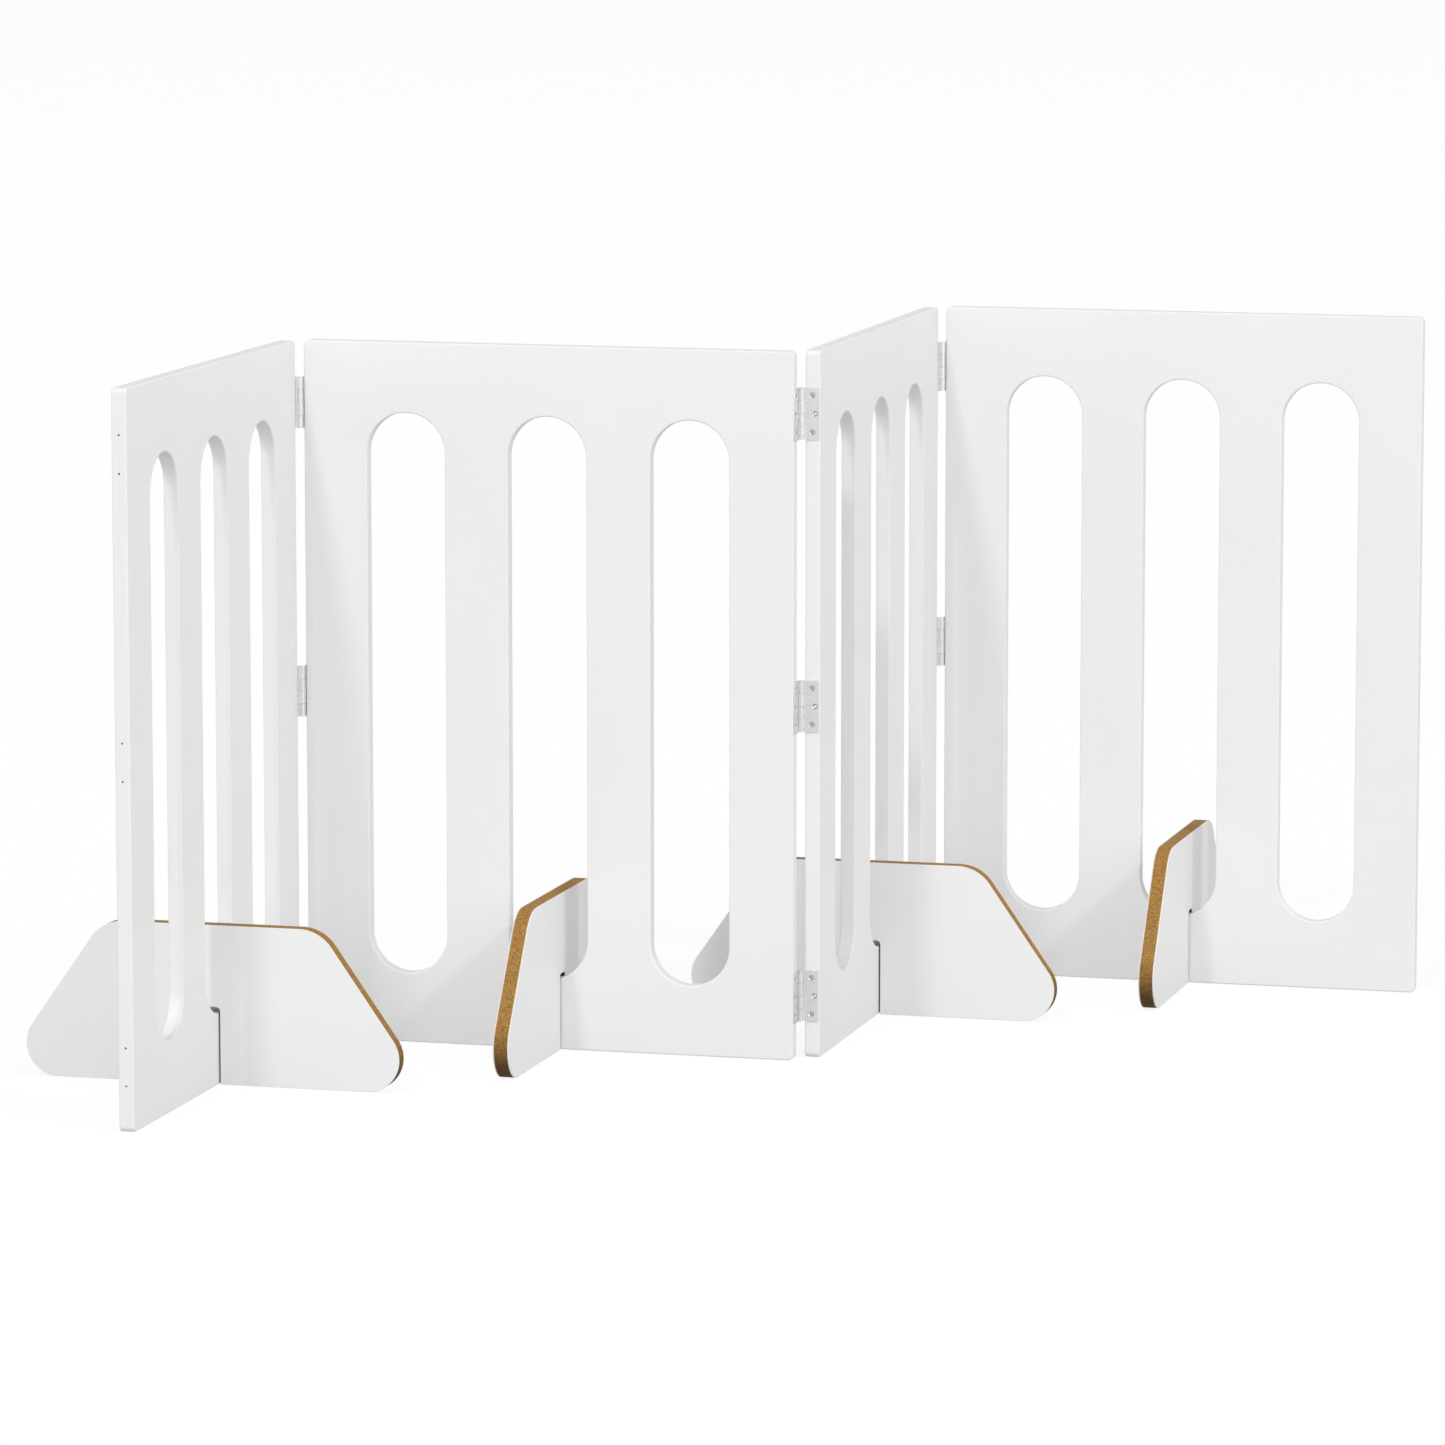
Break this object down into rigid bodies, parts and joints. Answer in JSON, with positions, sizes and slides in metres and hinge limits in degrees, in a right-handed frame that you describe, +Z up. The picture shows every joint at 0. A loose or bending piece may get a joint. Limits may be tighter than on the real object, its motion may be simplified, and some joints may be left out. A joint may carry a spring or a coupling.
{
  "type": "folding pet gate",
  "caption": "Free-standing folding pet gate: slotted white panels joined in a zigzag by butt hinges, each held up by a lift-off foot that straddles its lower rail.",
  "frame": {"origin": "on the floor, under the middle of the bounding box at rest, with the panels at right angles", "axes": "+X along panels 2 and 4 from left to right, +Y along panels 1 and 3 from front to back, +Z up"},
  "size_m": [1.232, 1.232, 0.7],
  "materials": {
    "panel_paint": "white paint over fibreboard, satin",
    "foot_paint": "white painted faces, cut edges of bare fibreboard",
    "hinge_steel": "bright zinc plated steel",
    "pin_steel": "drawn steel wire",
    "screw_steel": "bright zinc plated steel"
  },
  "bodies": {
    "panel_2": {"panel_2": "panel_paint", "hinge_12_bottom_leaf_panel_2": "hinge_steel", "hinge_12_bottom_screw_panel_2_a": "screw_steel", "hinge_12_bottom_screw_panel_2_b": "screw_steel", "hinge_12_middle_leaf_panel_2": "hinge_steel", "hinge_12_top_leaf_panel_2": "hinge_steel", "hinge_12_top_screw_panel_2_a": "screw_steel", "hinge_12_top_screw_panel_2_b": "screw_steel", "hinge_23_bottom_leaf_panel_2": "hinge_steel", "hinge_23_bottom_screw_panel_2_a": "screw_steel", "hinge_23_bottom_screw_panel_2_b": "screw_steel", "hinge_23_middle_leaf_panel_2": "hinge_steel", "hinge_23_top_leaf_panel_2": "hinge_steel", "hinge_23_top_screw_panel_2_a": "screw_steel", "hinge_23_top_screw_panel_2_b": "screw_steel"},
    "panel_1": {"panel_1": "panel_paint", "hinge_12_bottom_leaf_panel_1": "hinge_steel", "hinge_12_bottom_pin": "pin_steel", "hinge_12_bottom_screw_panel_1_a": "screw_steel", "hinge_12_bottom_screw_panel_1_b": "screw_steel", "hinge_12_middle_leaf_panel_1": "hinge_steel", "hinge_12_middle_pin": "pin_steel", "hinge_12_top_leaf_panel_1": "hinge_steel", "hinge_12_top_pin": "pin_steel", "hinge_12_top_screw_panel_1_a": "screw_steel", "hinge_12_top_screw_panel_1_b": "screw_steel"},
    "panel_3": {"panel_3": "panel_paint", "hinge_23_bottom_leaf_panel_3": "hinge_steel", "hinge_23_bottom_pin": "pin_steel", "hinge_23_bottom_screw_panel_3_a": "screw_steel", "hinge_23_bottom_screw_panel_3_b": "screw_steel", "hinge_23_middle_leaf_panel_3": "hinge_steel", "hinge_23_middle_pin": "pin_steel", "hinge_23_top_leaf_panel_3": "hinge_steel", "hinge_23_top_pin": "pin_steel", "hinge_23_top_screw_panel_3_a": "screw_steel", "hinge_23_top_screw_panel_3_b": "screw_steel", "hinge_34_bottom_leaf_panel_3": "hinge_steel", "hinge_34_bottom_pin": "pin_steel", "hinge_34_bottom_screw_panel_3_a": "screw_steel", "hinge_34_bottom_screw_panel_3_b": "screw_steel", "hinge_34_middle_leaf_panel_3": "hinge_steel", "hinge_34_middle_pin": "pin_steel", "hinge_34_top_leaf_panel_3": "hinge_steel", "hinge_34_top_pin": "pin_steel", "hinge_34_top_screw_panel_3_a": "screw_steel", "hinge_34_top_screw_panel_3_b": "screw_steel"},
    "panel_4": {"panel_4": "panel_paint", "hinge_34_bottom_leaf_panel_4": "hinge_steel", "hinge_34_bottom_screw_panel_4_a": "screw_steel", "hinge_34_bottom_screw_panel_4_b": "screw_steel", "hinge_34_middle_leaf_panel_4": "hinge_steel", "hinge_34_top_leaf_panel_4": "hinge_steel", "hinge_34_top_screw_panel_4_a": "screw_steel", "hinge_34_top_screw_panel_4_b": "screw_steel"},
    "foot_1": {"foot_1": "foot_paint"},
    "foot_2": {"foot_2": "foot_paint"},
    "foot_3": {"foot_3": "foot_paint"},
    "foot_4": {"foot_4": "foot_paint"}
  },
  "joints": [
    {"name": "hinge_12", "type": "hinge", "parent": "panel_2", "child": "panel_1", "pos_m": [-0.415, -0.113, 0.35], "axis": [0, 0, 1], "range_deg": [-90, 15]},
    {"name": "hinge_23", "type": "hinge", "parent": "panel_2", "child": "panel_3", "pos_m": [0.091, -0.091, 0.35], "axis": [0, 0, 1], "range_deg": [-90, 15]},
    {"name": "hinge_34", "type": "hinge", "parent": "panel_3", "child": "panel_4", "pos_m": [0.113, 0.415, 0.35], "axis": [0, 0, -1], "range_deg": [-90, 15]},
    {"name": "foot_1_lift", "type": "slide", "parent": "panel_1", "child": "foot_1", "axis": [0, 0, 1], "range_m": [0, 0.47]},
    {"name": "foot_2_lift", "type": "slide", "parent": "panel_2", "child": "foot_2", "axis": [0, 0, 1], "range_m": [0, 0.47]},
    {"name": "foot_3_lift", "type": "slide", "parent": "panel_3", "child": "foot_3", "axis": [0, 0, 1], "range_m": [0, 0.47]},
    {"name": "foot_4_lift", "type": "slide", "parent": "panel_4", "child": "foot_4", "axis": [0, 0, 1], "range_m": [0, 0.47]}
  ]
}
